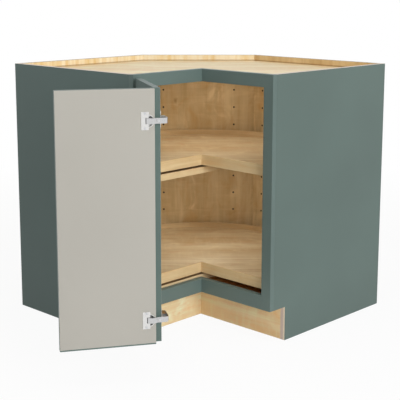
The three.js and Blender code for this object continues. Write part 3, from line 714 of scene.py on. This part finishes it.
def screw_mesh(name, length):
    """A pan head with a cross recess, and a shank, round the Z axis."""
    bm = bmesh.new()

    def loop(points, z):
        return [bm.verts.new((x, y, z)) for x, y in points]

    def join(one, two):
        for i in range(len(one)):
            bm.faces.new((one[i - 1], one[i], two[i], two[i - 1]))

    rings = [
        loop(circle(SHANK_R * 0.6), -length),
        loop(circle(SHANK_R), -length + POINT_H),
        loop(circle(SHANK_R), 0),
    ]
    rings += [loop(circle(HEAD_R * r), HEAD_H * h) for r, h in HEAD_SECTION]
    for one, two in zip(rings, rings[1:]):
        join(one, two)
    bm.faces.new(rings[0])
    mouth = loop(cross(1.0), HEAD_H)
    bottom = loop(cross(0.7), HEAD_H - RECESS_DEEP)
    join(mouth, bottom)
    bm.faces.new(bottom)
    rims = [e for e in bm.edges if len(e.link_faces) == 1]
    bmesh.ops.triangle_fill(bm, use_beauty=True, edges=rims)
    bmesh.ops.recalc_face_normals(bm, faces=bm.faces[:])
    mesh = bpy.data.meshes.new(name)
    bm.to_mesh(mesh)
    bm.free()
    return mesh


def pan_head_screw(name, body, turn):
    """Stands for a CAD screw, with its cross recess turned by some degrees."""
    place, length = screw_place(name)
    mesh = screw_mesh(f"{name}_cross_head", length)
    mesh.transform(place @ Matrix.Rotation(math.radians(turn), 4, "Z"))
    mesh.shade_smooth()
    mesh.set_sharp_from_angle(angle=math.radians(SMOOTH_ANGLE))
    mesh.materials.append(ZINC)
    piece = new_object(f"{name}_cross_head", mesh)
    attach(piece, body)
    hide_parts(name)


# ------------------------------------------------------------------ carcass
def slab_of(name, axis, room):
    """A panel's faces as maple() takes them, from the frame."""
    low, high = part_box(name)
    return axis, low[axis], high[axis], room


def dress_back_panel(name, material, seed, slab, columns, lip, turn=0.0):
    """Plywood with holes, a strip of other tones above the top panel and a dark upper edge."""
    dress(name, maple(material, Z, seed, BACK_WOOD, turn=turn, figure=1.45, slab=slab, plies=True,
                      columns=columns, lip=lip, crown=(0.75, BACK_CROWN)))


def dress_panels():
    right_end = slab_of("right_end_panel", X, -1)
    left_end = slab_of("left_end_panel", Y, 1)
    dress("right_end_panel", end_panel_finish("right_end_finish", right_end, PAINT))
    # the left end panel gets the darker copy of the teal, painted shade
    dress("left_end_panel", end_panel_finish("left_end_finish", left_end, LEFT_PAINT_SHADED))
    right_back = slab_of("right_back_panel", Y, -1)
    left_back = slab_of("left_back_panel", X, 1)
    diagonal_back = (X, -BOARD / 2, BOARD / 2, 1)
    dress_back_panel("right_back_panel", "right_back_ply", 1.3, right_back,
                     HOLE_COLUMNS, lip=(0.45, RIGHT_LIP))
    dress_back_panel("left_back_panel", "left_back_ply", 7.9, left_back,
                     HOLE_COLUMNS, lip=(0.85, LEFT_LIP))
    dress_back_panel("diagonal_back_panel", "diagonal_ply", 4.4, diagonal_back,
                     (DIAGONAL_COLUMN,), lip=(0.85, DIAGONAL_LIP), turn=DIAGONAL)
    dress("top_panel", maple("top_ply", X, 2.2, TOP_WOOD, turn=-DIAGONAL))
    dress("floor_panel", maple("floor_ply", X, 5.5, FLOOR_WOOD_SHADED, turn=-DIAGONAL))
    dress("right_toe_board", maple("right_toe_ply", X, 8.3, RIGHT_TOE_WOOD, figure=1.5))
    dress("left_toe_board", maple("left_toe_ply", Y, 6.1, LEFT_TOE_WOOD, figure=1.6))
    for name in ("top_panel", "right_toe_board", "left_toe_board"):
        soften(name, PANEL_EDGE, 1)


def dress_face_frame():
    for side in ("right", "left"):
        for part in ("stile", "top_rail", "bottom_rail"):
            dress(f"{side}_{part}", TEAL)
            soften(f"{side}_{part}", FRAME_EDGE)


def dress_support_board(level):
    name = f"{level}_support_board"
    # its top face is tinted darker as painted shade from the tray above it
    dress(name, maple(f"{level}_board_ply", Y, 3.7, SUPPORT_WOOD, figure=0.6,
                      crown=(0.70, SUPPORT_TOP_SHADE)))
    soften(name, SUPPORT_EDGE)


def dress_shelf_clips():
    for side in ("left", "right"):
        for number in (1, 2):
            dress(f"{side}_shelf_clip_{number}", ZINC)
            round_off(f"{side}_shelf_clip_{number}")


# ------------------------------------------------------------------ trays
def dress_tray(level, seed):
    floor = f"{level}_tray_floor"
    rim = f"{level}_tray_rim"
    # the floor gets pale streaks towards its front, a painted highlight that stands in for sheen
    dress(floor, maple(f"{level}_tray_ply", X, seed, TRAY_WOOD, turn=-DIAGONAL, figure=1.2,
                       sheen=(-0.38, -0.48, 0.50)))
    dress(rim, maple(f"{level}_rim_ply", Z, seed + 1, RIM_WOOD, polar=TRAY_CENTRE, figure=0.5))
    soften(rim, TRAY_EDGE, 1)
    round_off(rim)
    for side, grain, more in (("right", X, 2), ("left", Y, 3)):
        rail = f"{level}_tray_{side}_rail"
        dress(rail, maple(f"{level}_{side}_rail_ply", grain, seed + more, RAIL_WOOD, figure=0.5))
        soften(rail, TRAY_EDGE)


def dress_bearing(level):
    for part, material in (("base", ZINC), ("top", ZINC), ("cage", NYLON)):
        dress(f"{level}_bearing_{part}", material)
        round_off(f"{level}_bearing_{part}")


# ------------------------------------------------------------------ door and hinges
def dress_leaves():
    for name, finish in (("door_leaf_a", LEAF_A), ("door_leaf_b", LEAF_B)):
        dress(name, finish)
        rounded_slab(name, REST, LEAF_ROUND)


def dress_hinges(level):
    for part, material in (("fold_hinge_plate", NICKEL), ("fold_hinge_arm", ARM_STEEL),
                           ("fold_hinge_cup", NICKEL), ("stile_hinge_arm", ARM_STEEL),
                           ("stile_hinge_socket", NICKEL)):
        dress(f"{level}_{part}", material)
        soften(f"{level}_{part}", HINGE_EDGE, 1, 50)
        round_off(f"{level}_{part}")
    dress(f"{level}_fold_hinge_pin", ZINC)
    round_off(f"{level}_fold_hinge_pin")


def add_hinge_screws(level):
    pan_head_screw(f"{level}_stile_hinge_screw", "carcass", 20)
    pan_head_screw(f"{level}_fold_plate_screw", "door_leaf_a", 65)
    pan_head_screw(f"{level}_fold_arm_screw", "door_leaf_a", 40)
    pan_head_screw(f"{level}_fold_cup_screw_1", "door_leaf_b", 10)
    pan_head_screw(f"{level}_fold_cup_screw_2", "door_leaf_b", 50)


dress_panels()
dress_face_frame()
dress_shelf_clips()
for level, seed in (("lower", 12.0), ("upper", 17.5)):
    dress_support_board(level)
    dress_tray(level, seed)
    dress_bearing(level)
dress_leaves()
for level in ("lower", "upper"):
    dress_hinges(level)
    add_hinge_screws(level)


# ------------------------------------------------------------------ floor and surroundings
def seen_directly(t):
    """1 for what the camera sees, also in a mirror or through glass, and 0 for light."""
    n = t.nodes.new("ShaderNodeLightPath")
    mirrored = math_node(t, "MAXIMUM", n.outputs["Is Camera Ray"], n.outputs["Is Glossy Ray"])
    return math_node(t, "MAXIMUM", mirrored, n.outputs["Is Transmission Ray"])


def mix_shaders(t, share, a, b, end):
    """Blends two shaders into the output node of a tree."""
    n = t.nodes.new("ShaderNodeMixShader")
    link(t, share, n.inputs[0])
    link(t, a.outputs[0], n.inputs[1])
    link(t, b.outputs[0], n.inputs[2])
    link(t, n.outputs[0], end.inputs[0])


def floor_material():
    """White to the camera, and slightly shaded near the cabinet, but a plain floor to light."""
    m = bpy.data.materials.new("floor_white")
    m.use_nodes = True
    t = m.node_tree
    t.nodes.clear()
    end = t.nodes.new("ShaderNodeOutputMaterial")
    plain = t.nodes.new("ShaderNodeBsdfDiffuse")
    plain.inputs["Color"].default_value = (0.88, 0.88, 0.88, 1)
    white = t.nodes.new("ShaderNodeEmission")
    white.inputs["Color"].default_value = (1, 1, 1, 1)
    white.inputs["Strength"].default_value = 1.0
    away = t.nodes.new("ShaderNodeVectorMath")
    away.operation = "LENGTH"
    link(t, piece_space(t)[0], away.inputs[0])
    unshaded = plus(t, times(t, fade(t, away.outputs["Value"], 1.0, 2.6), 0.07), 0.93)
    mix_shaders(t, times(t, seen_directly(t), unshaded), plain, white, end)
    return m


def add_floor():
    half = 60.0
    mesh = bpy.data.meshes.new("floor")
    corners = [(-half, -half, 0), (half, -half, 0), (half, half, 0), (-half, half, 0)]
    mesh.from_pydata(corners, [], [(0, 1, 2, 3)])
    mesh.materials.append(floor_material())
    o = new_object("floor", mesh)
    o.location.z = -0.0004  # just under the cabinet's feet


def add_surroundings():
    """White to the camera, and a weak warm light to the rest."""
    surroundings = bpy.data.worlds.new("studio")
    bpy.context.scene.world = surroundings
    surroundings.use_nodes = True
    t = surroundings.node_tree
    t.nodes.clear()
    end = t.nodes.new("ShaderNodeOutputWorld")
    white = t.nodes.new("ShaderNodeBackground")
    white.inputs["Color"].default_value = (1, 1, 1, 1)
    white.inputs["Strength"].default_value = 1.0
    glow = t.nodes.new("ShaderNodeBackground")
    glow.inputs["Color"].default_value = (1.0, 0.985, 0.96, 1)
    glow.inputs["Strength"].default_value = 0.33
    mix_shaders(t, seen_directly(t), glow, white, end)


# ------------------------------------------------------------------ lamps
def add_lamp(name, at, to, power, size):
    """A round lamp, in watts and metres, that looks from one point to another. Metal doesn't
    mirror it."""
    data = bpy.data.lights.new(name, "AREA")
    data.energy = power
    data.shape = "DISK"
    data.size = size
    o = new_object(name, data)
    o.location = at
    o.rotation_euler = (Vector(to) - Vector(at)).to_track_quat("-Z", "Y").to_euler()
    o.visible_glossy = False
    return o


def add_bay_lamp(name, at, power, size):
    """A soft lamp inside the cabinet, over a tray, that looks down and that no camera sees."""
    under = (at[X], at[Y], 0)
    add_lamp(name, at, under, power, size).visible_camera = False


# ------------------------------------------------------------------ camera, fitted to the photograph
PHOTO_SIDE = 400  # pixels
FOCAL = 993.14  # pixels
CENTRE_ROW = 160  # the row of the photograph that the camera looks at
YAW, PITCH, ROLL = 2.33798, -0.17738, 0.00171  # radians
CAMERA_PLACE = (2.86782, -2.95981, 1.15656)  # metres from the corner of the walls
SENSOR = 36  # millimetres


def add_camera():
    data = bpy.data.cameras.new("camera")
    o = new_object("camera", data)
    forward = Vector((math.cos(PITCH) * math.cos(YAW), math.cos(PITCH) * math.sin(YAW), math.sin(PITCH)))
    right = forward.cross(Vector((0, 0, 1))).normalized()
    up = right.cross(forward)
    turn = Matrix((right, up, -forward)).transposed() @ Matrix.Rotation(ROLL, 3, "Z")
    place = Vector(CAMERA_PLACE) + Vector((-TO_ORIGIN, TO_ORIGIN, 0))
    o.matrix_world = Matrix.Translation(place) @ turn.to_4x4()
    data.sensor_width = SENSOR
    data.lens = FOCAL / PHOTO_SIDE * SENSOR
    data.shift_y = (CENTRE_ROW - PHOTO_SIDE / 2) / PHOTO_SIDE
    data.clip_end = 100
    bpy.context.scene.camera = o


add_floor()
add_surroundings()
add_lamp("key", at=(6.3, -2.5, 2.15), to=(0.5, -0.5, 0.45), power=236, size=3.2)
add_lamp("top", at=(0.9, -0.9, 3.2), to=(0.4, -0.4, 0.4), power=31, size=2.4)
add_bay_lamp("upper_bay", at=(0.26, -0.19, 0.825), power=0.63, size=0.45)
add_bay_lamp("lower_bay", at=(0.28, -0.21, 0.512), power=0.61, size=0.35)
add_camera()
bpy.context.scene.view_settings.view_transform = "Standard"
